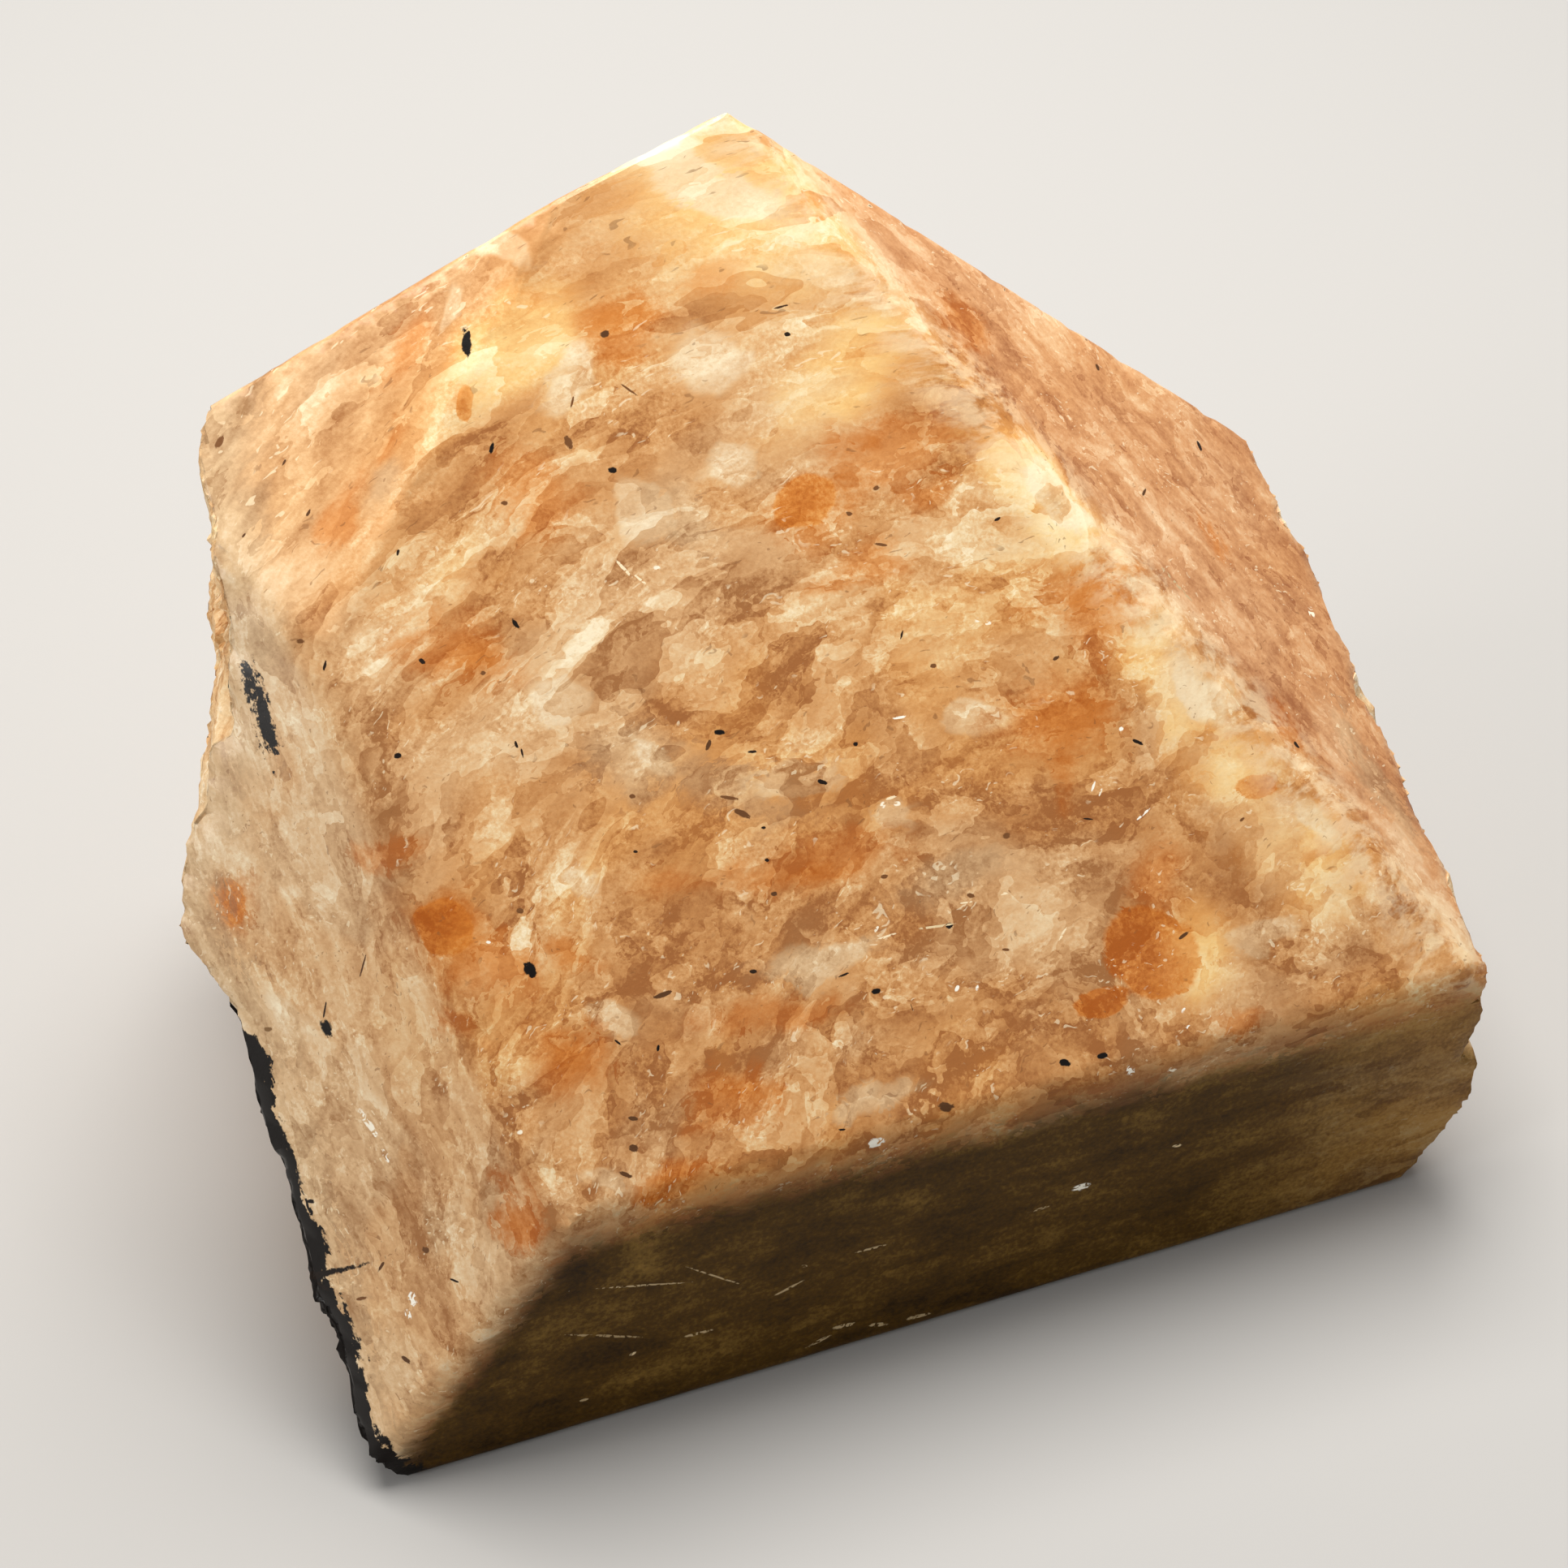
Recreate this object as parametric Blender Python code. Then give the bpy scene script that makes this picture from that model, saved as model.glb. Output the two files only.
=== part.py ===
# Sunstone: a natural block of orange feldspar, sawn flat below and in front,
# with a point cut and polished on top and the broken rock left on its other sides.

import math
from collections import namedtuple

import bmesh
import bpy
from mathutils import Vector, noise

NAME = "sunstone"

# A face is given by where it looks and how far out it lies.
# bearing: degrees round from the front (-Y), 90 being the right (+X)
# slope: degrees of lean from level, 90 being upright and more an overhang
# reach: millimetres from the origin along the face's own normal
Face = namedtuple("Face", "bearing slope reach")

# The sawn and polished faces
MAIN = Face(1.0, 44.0, 27.5)
RIGHT = Face(51.3, 38.9, 36.87)
LEFT_UPPER = Face(-19.9, 34.8, 36.26)
LEFT_LOWER = Face(-46.8, 62.2, 33.57)
FRONT = Face(0.0, 90.0, 22.0)
BACK_LEFT = Face(-163.6, 64.0, 36.33)
BACK_RIGHT = Face(136.6, 62.0, 37.1)
BASE = Face(0.0, 180.0, 0.0)

# The broken sides, which lean out over the base on the left
LEFT_SHOULDER_SIDE = Face(-100.0, 76.0, 36.9)
LEFT_SIDE = Face(-96.0, 104.0, 25.6)
RIGHT_SIDE = Face(93.0, 88.0, 32.3)
BACK_SIDE = Face(178.0, 84.0, 22.4)
WASTE_IN_FRONT = Face(0.0, 90.0, 45.0)
LOWER_RIGHT_CHIP = Face(54.0, 132.0, 27.8)

# How the polished faces meet: the two faces, the radius between them in
# millimetres and the number of flats that make it
RIDGES = (
    (MAIN, RIGHT, 2.4, 3),
    (MAIN, LEFT_UPPER, 3.0, 2),
    (MAIN, LEFT_LOWER, 4.0, 3),
    (LEFT_UPPER, LEFT_LOWER, 3.0, 2),
    (MAIN, FRONT, 2.2, 3),
    (LEFT_LOWER, FRONT, 1.6, 2),
    (RIGHT, FRONT, 1.6, 2),
    (MAIN, BACK_LEFT, 0.4, 1),
    (LEFT_UPPER, BACK_LEFT, 0.4, 1),
    (RIGHT, BACK_RIGHT, 0.4, 1),
    (BACK_LEFT, BACK_RIGHT, 1.5, 2),
    (FRONT, BASE, 0.5, 1),
)

# The block before it is cut, in millimetres
BLOCK_BOTTOM = -3.0
BLOCK_TOP = 57.0
RING_SPACING = 1.5
COLUMNS = 156
CORNER_SHARPNESS = 14.0
LEAST_FACING = 0.05

# The rock splits in layers that lie along the main face
LAYER_THICKNESS = 4.4
LAYER_STEP = 1.4
LAYER_RISE = 0.7
LAYER_WANDER = 0.35
LEDGES_EVERYWHERE = 0.55
LEDGES_IN_PATCHES = 0.45
COARSE_SIZE = 9.0
COARSE_HEIGHT = 1.1
FINE_SIZE = 3.0
FINE_HEIGHT = 0.45
SEED = Vector((3.7, 11.2, 5.9))
SEED_STEP = 1.31

# Lumps on the broken sides: centre, radius and height in millimetres
LUMPS = (
    (Vector((-32.0, -2.5, 24.5)), 4.0, 2.5),
    (Vector((-28.5, 15.5, 27.5)), 5.0, -1.4),
    (Vector((-31.0, 6.0, 29.0)), 3.0, 0.7),
    (Vector((-29.5, -20.0, 3.5)), 5.0, 1.2),
    (Vector((-28.5, 5.0, 37.0)), 5.0, -0.9),
    (Vector((33.0, -22.0, 6.5)), 3.0, 1.0),
    (Vector((33.0, -22.0, 14.0)), 4.0, -0.7),
    (Vector((10.0, 22.0, 18.0)), 8.0, 1.5),
    (Vector((-16.0, 21.0, 28.0)), 7.0, -1.6),
)

# Vertices this close to a cut are taken as lying on it, in millimetres
ON_THE_CUT = 1e-6

MILLIMETRE = 0.001


def normal_of(face):
    """Unit vector that the face looks along."""
    bearing = math.radians(face.bearing)
    slope = math.radians(face.slope)
    level = math.sin(slope)
    return Vector((math.sin(bearing) * level, -math.cos(bearing) * level, math.cos(slope)))


def value_of_layer(number):
    """How far the layer of this number stands out, from -1 to 1."""
    return 2.0 * noise.cell(Vector((number * SEED_STEP, SEED.y, SEED.z))) - 1.0


def layer_step(point):
    """Ledge of the layer at this point, level over most of the layer's thickness."""
    depth = point.dot(normal_of(MAIN)) / LAYER_THICKNESS
    depth += LAYER_WANDER * noise.noise(point / COARSE_SIZE + SEED)
    number = math.floor(depth)
    rise = min(1.0, (depth - number) / LAYER_RISE)
    rise = rise * rise * (3.0 - 2.0 * rise)
    below = value_of_layer(number - 1)
    above = value_of_layer(number)
    return LAYER_STEP * (below + (above - below) * rise)


def roughness(point):
    """Height of the broken surface over the plain side at this point."""
    patches = noise.noise(point / (2.0 * COARSE_SIZE))
    height = layer_step(point) * (LEDGES_EVERYWHERE + LEDGES_IN_PATCHES * patches)
    height += COARSE_HEIGHT * noise.noise(point / COARSE_SIZE + SEED)
    height += FINE_HEIGHT * noise.noise(point / FINE_SIZE - SEED)
    for centre, radius, lump in LUMPS:
        height += lump * math.exp(-(point - centre).length_squared / (radius * radius))
    return height


def distance_to_side(direction, level):
    """Distance from the upright axis to the broken sides, their corners rounded."""
    sides = (LEFT_SHOULDER_SIDE, LEFT_SIDE, RIGHT_SIDE, BACK_SIDE, WASTE_IN_FRONT, LOWER_RIGHT_CHIP)
    total = 0.0
    for side in sides:
        normal = normal_of(side)
        facing = normal.dot(direction)
        if facing > LEAST_FACING:
            distance = (side.reach - normal.z * level) / facing
            total += distance ** -CORNER_SHARPNESS
    return total ** (-1.0 / CORNER_SHARPNESS)


def broken_block():
    """The rock before cutting: a column of rings pushed out to its broken sides."""
    block = bmesh.new()
    bmesh.ops.create_cone(block, cap_ends=True, segments=COLUMNS, radius1=1.0, radius2=1.0,
                          depth=BLOCK_TOP - BLOCK_BOTTOM)
    middle = Vector((0.0, 0.0, (BLOCK_TOP + BLOCK_BOTTOM) / 2.0))
    bmesh.ops.translate(block, verts=block.verts, vec=middle)
    rings = int((BLOCK_TOP - BLOCK_BOTTOM) / RING_SPACING)
    for ring in range(1, rings):
        level = Vector((0.0, 0.0, BLOCK_BOTTOM + ring * RING_SPACING))
        everything = block.verts[:] + block.edges[:] + block.faces[:]
        bmesh.ops.bisect_plane(block, geom=everything, plane_co=level, plane_no=(0.0, 0.0, 1.0))
    for vert in block.verts:
        direction = Vector((vert.co.x, vert.co.y, 0.0)).normalized()
        level = vert.co.z
        plain = direction * distance_to_side(direction, level) + Vector((0.0, 0.0, level))
        vert.co = plain + direction * roughness(plain)
    return block


def cut(stone, normal, reach):
    """Saw off what lies beyond a plane and close the flat face that is left."""
    everything = stone.verts[:] + stone.edges[:] + stone.faces[:]
    done = bmesh.ops.bisect_plane(stone, geom=everything, dist=ON_THE_CUT, plane_co=normal * reach,
                                  plane_no=normal, clear_outer=True)
    rim = [piece for piece in done["geom_cut"] if isinstance(piece, bmesh.types.BMEdge)]
    bmesh.ops.holes_fill(stone, edges=rim, sides=0)


def round_ridge(stone, first, second, radius, flats):
    """Ease the ridge between two faces with flats that all touch one cylinder."""
    one = normal_of(first)
    two = normal_of(second)
    cosine = one.dot(two)
    inner_one = first.reach - radius
    inner_two = second.reach - radius
    weight_one = (inner_one - cosine * inner_two) / (1.0 - cosine * cosine)
    weight_two = (inner_two - cosine * inner_one) / (1.0 - cosine * cosine)
    axis = one * weight_one + two * weight_two
    for flat in range(1, flats + 1):
        share = flat / (flats + 1.0)
        normal = one.slerp(two, share)
        cut(stone, normal, normal.dot(axis) + radius)


def cut_stone():
    """The rock with its sawn and polished faces."""
    stone = broken_block()
    for face in (BASE, FRONT, MAIN, RIGHT, LEFT_UPPER, LEFT_LOWER, BACK_LEFT, BACK_RIGHT):
        cut(stone, normal_of(face), face.reach)
    for first, second, radius, flats in RIDGES:
        round_ridge(stone, first, second, radius, flats)
    bmesh.ops.recalc_face_normals(stone, faces=stone.faces[:])
    return stone


def centre_on_base(stone):
    """Move the middle of the stone's plan to the origin."""
    across = [vert.co.x for vert in stone.verts]
    along = [vert.co.y for vert in stone.verts]
    middle = Vector((min(across) + max(across), min(along) + max(along), 0.0)) / 2.0
    bmesh.ops.translate(stone, verts=stone.verts, vec=-middle)


def stone_material():
    """Peach feldspar with a low polish."""
    material = bpy.data.materials.new(NAME)
    material.use_nodes = True
    shader = material.node_tree.nodes["Principled BSDF"]
    shader.inputs["Base Color"].default_value = (0.72, 0.42, 0.2, 1.0)
    shader.inputs["Roughness"].default_value = 0.35
    shader.inputs["Metallic"].default_value = 0.0
    return material


def build():
    for old in list(bpy.data.objects):
        bpy.data.objects.remove(old)
    parts = bpy.data.collections.new("Sunstone")
    bpy.context.scene.collection.children.link(parts)
    stone = cut_stone()
    centre_on_base(stone)
    bmesh.ops.scale(stone, verts=stone.verts, vec=(MILLIMETRE, MILLIMETRE, MILLIMETRE))
    mesh = bpy.data.meshes.new(NAME)
    stone.to_mesh(mesh)
    stone.free()
    mesh.materials.append(stone_material())
    parts.objects.link(bpy.data.objects.new(NAME, mesh))


build()
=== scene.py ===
# A cut-base sunstone: polished faces rising to a point, broken rock on its sides and back
import math

import bmesh
import bpy
import numpy as np
from mathutils import Matrix, Vector, noise
from mathutils.bvhtree import BVHTree
from mathutils.kdtree import KDTree


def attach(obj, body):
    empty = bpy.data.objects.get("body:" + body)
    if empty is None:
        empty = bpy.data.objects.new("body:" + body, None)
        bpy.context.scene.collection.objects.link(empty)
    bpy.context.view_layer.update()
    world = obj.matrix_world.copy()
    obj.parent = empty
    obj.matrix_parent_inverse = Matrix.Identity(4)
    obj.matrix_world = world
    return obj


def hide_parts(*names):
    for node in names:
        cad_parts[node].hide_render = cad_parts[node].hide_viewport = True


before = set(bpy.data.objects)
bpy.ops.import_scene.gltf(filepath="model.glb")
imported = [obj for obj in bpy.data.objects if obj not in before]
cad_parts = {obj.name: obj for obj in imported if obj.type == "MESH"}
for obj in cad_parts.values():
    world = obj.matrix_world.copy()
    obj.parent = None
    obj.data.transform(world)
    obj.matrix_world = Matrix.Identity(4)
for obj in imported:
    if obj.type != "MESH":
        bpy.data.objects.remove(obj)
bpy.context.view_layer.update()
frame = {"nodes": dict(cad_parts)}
print("frame loaded:", ", ".join(frame["nodes"]))

mm = 0.001

# Faces of the stone: where each looks (bearing round from the front, slope from level)
# and how far out it lies, in millimetres
polishedFaces = {
    "main": (1.0, 44.0, 27.5),
    "right": (51.3, 38.9, 36.87),
    "leftUpper": (-19.9, 34.8, 36.26),
    "leftLower": (-46.8, 62.2, 33.57),
    "front": (0.0, 90.0, 22.0),
    "backLeft": (-163.6, 64.0, 36.33),
    "backRight": (136.6, 62.0, 37.1),
    "base": (0.0, 180.0, 0.0),
}
brokenSides = {
    "leftShoulder": (-100.0, 76.0, 36.9),
    "left": (-96.0, 104.0, 25.6),
    "right": (93.0, 88.0, 32.3),
    "back": (178.0, 84.0, 22.4),
    "wasteInFront": (0.0, 90.0, 45.0),
    "lowerRightChip": (54.0, 132.0, 27.8),
}
ridges = [  # the two faces, the radius between them and the flats that make it
    ("main", "right", 2.4, 7), ("main", "leftUpper", 3.0, 4), ("main", "leftLower", 4.0, 7),
    ("leftUpper", "leftLower", 3.0, 5), ("main", "front", 2.2, 7), ("leftLower", "front", 1.6, 6),
    ("right", "front", 1.6, 6), ("main", "backLeft", 0.4, 2), ("leftUpper", "backLeft", 0.4, 2),
    ("right", "backRight", 0.4, 2), ("backLeft", "backRight", 1.5, 5), ("front", "base", 0.5, 3),
]
rock = {
    "bottom": -3.0, "top": 57.0, "rings": 170, "columns": 640,
    "cornerSharpness": 14.0, "leastFacing": 0.05,
    "plainBefore": -26.0, "plainAbove": 4.0,    # what is cut away before and above these stays plain
    "layerThickness": 4.4, "layerStep": 1.2, "layerRise": 0.7, "layerWander": 0.35,
    "ledgesEverywhere": 0.55, "ledgesInPatches": 0.45,
    "coarseSize": 9.0, "coarseHeight": 1.1, "fineSize": 3.0, "fineHeight": 0.45,
    "seed": Vector((3.7, 11.2, 5.9)), "seedStep": 1.31,
    "sheetThickness": 1.1, "sheetStep": 0.3,    # thin layers that only show close up
    "sheetWander": 0.8, "sheetWanderSize": 5.0, "sheetSeed": 1.7,
    "grainSize": 1.1, "grainHeight": 0.12, "crumbSize": 0.45, "crumbHeight": 0.07,
    "crystalSize": 4.6, "crystalDepth": 0.75, "smallCrystalSize": 1.7, "smallCrystalDepth": 0.3,
    "tiltSeed": 31.7, "heightSeed": 17.3,       # each crystal's own tilt and height
    "crystalRim": 0.25, "crystalFade": 4.5,     # their share at the polished faces, and how far it grows
    "rules": [  # the grid on the polished faces: its direction, spacing, and where it starts and ends
        (Vector((1.0, 0.0, 0.0)), 0.56, -34.0, 35.0), (Vector((0.0, 0.0, 1.0)), 0.42, 0.3, 54.0),
    ],
    "chipDepth": 0.16, "chipReach": 0.9, "chipSize": 1.3, "smallChipSize": 0.5,
    "breakSize": 0.9, "breakDepth": 0.4, "breakUneven": 2.4,     # where polished meets broken
    "waveHeight": 0.02, "waveSize": 4.0, "smallWaveSize": 1.5,
}
lumps = [  # centre, radius, height
    ((-32.0, -2.5, 24.5), 4.0, 2.5), ((-28.5, 15.5, 27.5), 5.0, -1.4), ((-31.0, 6.0, 29.0), 3.0, 0.7),
    ((-29.5, -20.0, 3.5), 5.0, 1.2), ((-28.5, 5.0, 37.0), 5.0, -0.9), ((33.0, -22.0, 6.5), 3.0, 1.0),
    ((33.0, -22.0, 14.0), 4.0, -0.7), ((10.0, 22.0, 18.0), 8.0, 1.5), ((-16.0, 21.0, 28.0), 7.0, -1.6),
    ((-31.5, -9.4, 15.7), 4.0, 1.1), ((-31.5, -14.4, 9.6), 4.0, 1.0), ((-31.4, -19.0, 3.8), 4.0, 0.6),
    ((-26.0, 11.5, 45.5), 2.5, 0.9),
]


def facing(face):
    bearing, slope = math.radians(face[0]), math.radians(face[1])
    level = math.sin(slope)
    return Vector((math.sin(bearing) * level, -math.cos(bearing) * level, math.cos(slope)))


normals = {name: facing(face) for name, face in polishedFaces.items()}
sides = [(facing(side), side[2]) for side in brokenSides.values()]
upperFaces = [(normals[name], face[2]) for name, face in polishedFaces.items() if name != "base"]
lumpPlaces = [(Vector(place), radius, height) for place, radius, height in lumps]

# The rock splits in layers along the main face: across, up and through them
layerUp = Vector((0.0, 0.0, 1.0)) - normals["main"] * normals["main"].z
layerUp.normalize()
layerAcross = layerUp.cross(normals["main"])


def smoothRise(share):
    share = min(1.0, max(0.0, share))
    return share * share * (3.0 - 2.0 * share)


def layerStep(depth, seed):
    number = math.floor(depth)
    rise = smoothRise((depth - number) / rock["layerRise"])
    values = [2.0 * noise.cell(Vector(((number + k) * rock["seedStep"], seed.y, seed.z))) - 1.0
              for k in (-1, 0)]
    return values[0] + (values[1] - values[0]) * rise


# Crystals that broke along flat planes, each tilted its own way
def cleavage(point, size, depth):
    place = point / size
    crystal = noise.voronoi(place)[1][0]
    tilt = noise.cell_vector(crystal * rock["tiltSeed"]) - Vector((0.5, 0.5, 0.5))
    raised = noise.cell(crystal * rock["heightSeed"]) - 0.5
    return depth * (2.0 * tilt.dot(place - crystal) + raised)


def brokenHeight(point):
    seed = rock["seed"]
    depth = point.dot(normals["main"])
    wander = rock["layerWander"] * noise.noise(point / rock["coarseSize"] + seed)
    patches = noise.noise(point / (2.0 * rock["coarseSize"]))
    height = rock["layerStep"] * layerStep(depth / rock["layerThickness"] + wander, seed)
    height *= rock["ledgesEverywhere"] + rock["ledgesInPatches"] * patches
    height += rock["coarseHeight"] * noise.noise(point / rock["coarseSize"] + seed)
    height += rock["fineHeight"] * noise.noise(point / rock["fineSize"] - seed)
    for place, radius, lump in lumpPlaces:
        away = (point - place).length_squared
        if away < 9.0 * radius * radius:
            height += lump * math.exp(-away / (radius * radius))
    inside = min(reach - normal.dot(point) for normal, reach in upperFaces)
    crystals = cleavage(point, rock["crystalSize"], rock["crystalDepth"])
    crystals += cleavage(point, rock["smallCrystalSize"], rock["smallCrystalDepth"])
    grown = smoothRise(inside / rock["crystalFade"])
    height += crystals * (rock["crystalRim"] + (1.0 - rock["crystalRim"]) * grown)
    crooked = rock["sheetWander"] * noise.noise(point / rock["sheetWanderSize"] + seed)
    sheet = depth / rock["sheetThickness"] + crooked
    height += rock["sheetStep"] * layerStep(sheet, seed * rock["sheetSeed"])
    height += rock["grainHeight"] * noise.noise(point / rock["grainSize"])
    height += rock["crumbHeight"] * noise.noise(point / rock["crumbSize"] + seed)
    return height


def distanceToSide(direction, level):
    total = 0.0
    for normal, reach in sides:
        towards = normal.dot(direction)
        if towards > rock["leastFacing"]:
            total += ((reach - normal.z * level) / towards) ** -rock["cornerSharpness"]
    return total ** (-1.0 / rock["cornerSharpness"])


def roughBlock():
    block = bmesh.new()
    bmesh.ops.create_grid(block, x_segments=rock["columns"], y_segments=rock["rings"], size=0.5)
    height = rock["top"] - rock["bottom"]
    for vert in block.verts:
        turn = (vert.co.x + 0.5) * 2.0 * math.pi
        direction = Vector((math.sin(turn), -math.cos(turn), 0.0))
        level = rock["bottom"] + (vert.co.y + 0.5) * height
        plain = direction * distanceToSide(direction, level) + Vector((0.0, 0.0, level))
        above = plain.dot(normals["main"]) - polishedFaces["main"][2]
        wasted = plain.y < rock["plainBefore"] or above > rock["plainAbove"]
        vert.co = plain if wasted else plain + direction * brokenHeight(plain)
    bmesh.ops.remove_doubles(block, verts=block.verts, dist=1e-4)
    bmesh.ops.holes_fill(block, edges=[edge for edge in block.edges if edge.is_boundary], sides=0)
    bmesh.ops.recalc_face_normals(block, faces=block.faces[:])
    return block


def cut(stone, polished, normal, reach):
    everything = stone.verts[:] + stone.edges[:] + stone.faces[:]
    done = bmesh.ops.bisect_plane(stone, geom=everything, dist=1e-6, plane_co=normal * reach,
                                  plane_no=normal, clear_outer=True)
    rim = [piece for piece in done["geom_cut"] if isinstance(piece, bmesh.types.BMEdge)]
    for face in bmesh.ops.holes_fill(stone, edges=rim, sides=0)["faces"]:
        face[polished] = 1


def roundRidge(stone, polished, first, second, radius, flats):
    one, two = normals[first], normals[second]
    cosine = one.dot(two)
    reachOne = polishedFaces[first][2] - radius
    reachTwo = polishedFaces[second][2] - radius
    axis = one * (reachOne - cosine * reachTwo) + two * (reachTwo - cosine * reachOne)
    axis /= 1.0 - cosine * cosine
    for flat in range(1, flats + 1):
        normal = one.slerp(two, flat / (flats + 1.0))
        cut(stone, polished, normal, normal.dot(axis) + radius)


def rulePolishedFaces(stone, polished):
    for along, spacing, first, last in rock["rules"]:
        for line in range(int((last - first) / spacing)):
            faces = [face for face in stone.faces if face[polished] and face.normal.z > -0.9]
            edges = dict.fromkeys(edge for face in faces for edge in face.edges)
            verts = dict.fromkeys(vert for face in faces for vert in face.verts)
            bmesh.ops.bisect_plane(stone, geom=list(verts) + list(edges) + faces, dist=1e-4,
                                   plane_co=along * (first + line * spacing), plane_no=along)


# Chipped ridges and edges, and the slight waves that polishing leaves
def relief(stone, polished):
    for vert in stone.verts:
        if not any(face[polished] for face in vert.link_faces) or vert.co.z < 0.05:
            continue
        point = vert.co.copy()
        depths = sorted(reach - normal.dot(point) for normal, reach in upperFaces)
        nearRidge = smoothRise(1.0 - (depths[1] - depths[0]) / rock["chipReach"])
        nearBreak = 0.0 if all(face[polished] for face in vert.link_faces) else 1.0
        nearBreak *= rock["breakDepth"] + rock["breakUneven"] * abs(noise.noise(point / rock["breakSize"]))
        chips = noise.noise(point / rock["chipSize"]) + 0.5 * noise.noise(point / rock["smallChipSize"])
        chip = max(0.0, chips) * nearRidge
        wave = noise.noise(point / rock["waveSize"]) + 0.5 * noise.noise(point / rock["smallWaveSize"])
        vert.co -= vert.normal * (rock["chipDepth"] * (chip + nearBreak) + rock["waveHeight"] * wave)


def cutStone():
    stone = roughBlock()
    print("rough block:", len(stone.faces), "faces")
    polished = stone.faces.layers.int.new("polished")
    for name in ("base", "front", "main", "right", "leftUpper", "leftLower", "backLeft", "backRight"):
        cut(stone, polished, normals[name], polishedFaces[name][2])
    for ridge in ridges:
        roundRidge(stone, polished, *ridge)
    print("cut stone:", len(stone.faces), "faces")
    rulePolishedFaces(stone, polished)
    stone.normal_update()
    relief(stone, polished)
    bmesh.ops.recalc_face_normals(stone, faces=stone.faces[:])
    print("ruled stone:", len(stone.faces), "faces")
    return stone, polished


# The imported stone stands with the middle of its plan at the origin, so the part made here
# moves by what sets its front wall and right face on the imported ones
def planShift():
    packed = [vert.co / mm for vert in frame["nodes"]["sunstone"].data.vertices]
    across, back = normals["right"].x, normals["right"].y
    shiftY = polishedFaces["front"][2] + min(point.y for point in packed)
    reach = max(normals["right"].dot(point) for point in packed)
    shiftX = (reach - polishedFaces["right"][2] - back * shiftY) / across
    return Vector((shiftX, shiftY, 0.0))


shift = planShift()
print("plan shift in mm:", [round(value, 3) for value in shift])
stoneMesh, polishedLayer = cutStone()

# The camera stands where the photograph was taken from, for a square image of 1932 pixels
photo = {
    "width": 1932.0, "lens": 80.0, "sensor": 36.0, "nearest": 0.01, "farthest": 10.0,
    "place": Vector((-45.18, -125.39, 154.18)), "target": Vector((-1.0, -4.0, 25.0)),
}
viewPlace = photo["place"] + shift
viewAhead = (photo["target"] - photo["place"]).normalized()
viewRight = viewAhead.cross(Vector((0.0, 0.0, 1.0))).normalized()
viewUp = viewRight.cross(viewAhead)
pixelsPerUnit = photo["lens"] / photo["sensor"] * photo["width"]

bmesh.ops.translate(stoneMesh, verts=stoneMesh.verts, vec=shift)
stoneTree = BVHTree.FromBMesh(stoneMesh)


def rayThrough(x, y):
    middle = photo["width"] / 2.0
    across = viewRight * ((x - middle) / pixelsPerUnit)
    return (viewAhead + across + viewUp * ((middle - y) / pixelsPerUnit)).normalized()


def depthBelow(name, place):
    return polishedFaces[name][2] - normals[name].dot(place - shift)


# Where a mark seen in the photograph lies: its place, its directions along, across and out of the
# stone, and its half length and half width in millimetres
def spotOnStone(x, y, halfLength, halfWidth, angle):
    place, normal, _, _ = stoneTree.ray_cast(viewPlace, rayThrough(x, y))
    if place is None:
        print("nothing is seen at", x, y)
        beside = viewPlace + rayThrough(x, y) * (photo["target"] - photo["place"]).length
        place, normal, _, _ = stoneTree.find_nearest(beside)
    depth, name = min((depthBelow(name, place), name) for name in polishedFaces)
    if depth < marks["nearFace"]:
        normal = normals[name]
    turn = math.radians(angle)
    ends = []
    for dx, dy, size in ((math.cos(turn), -math.sin(turn), halfLength),
                         (math.sin(turn), math.cos(turn), halfWidth)):
        ray = rayThrough(x + dx * size, y + dy * size)
        distance = (place - viewPlace).dot(normal) / ray.dot(normal)
        ends.append(viewPlace + ray * distance - place)
    along = ends[0].normalized()
    across = normal.cross(along)
    return place, along, across, normal, ends[0].length, abs(ends[1].dot(across))


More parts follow.
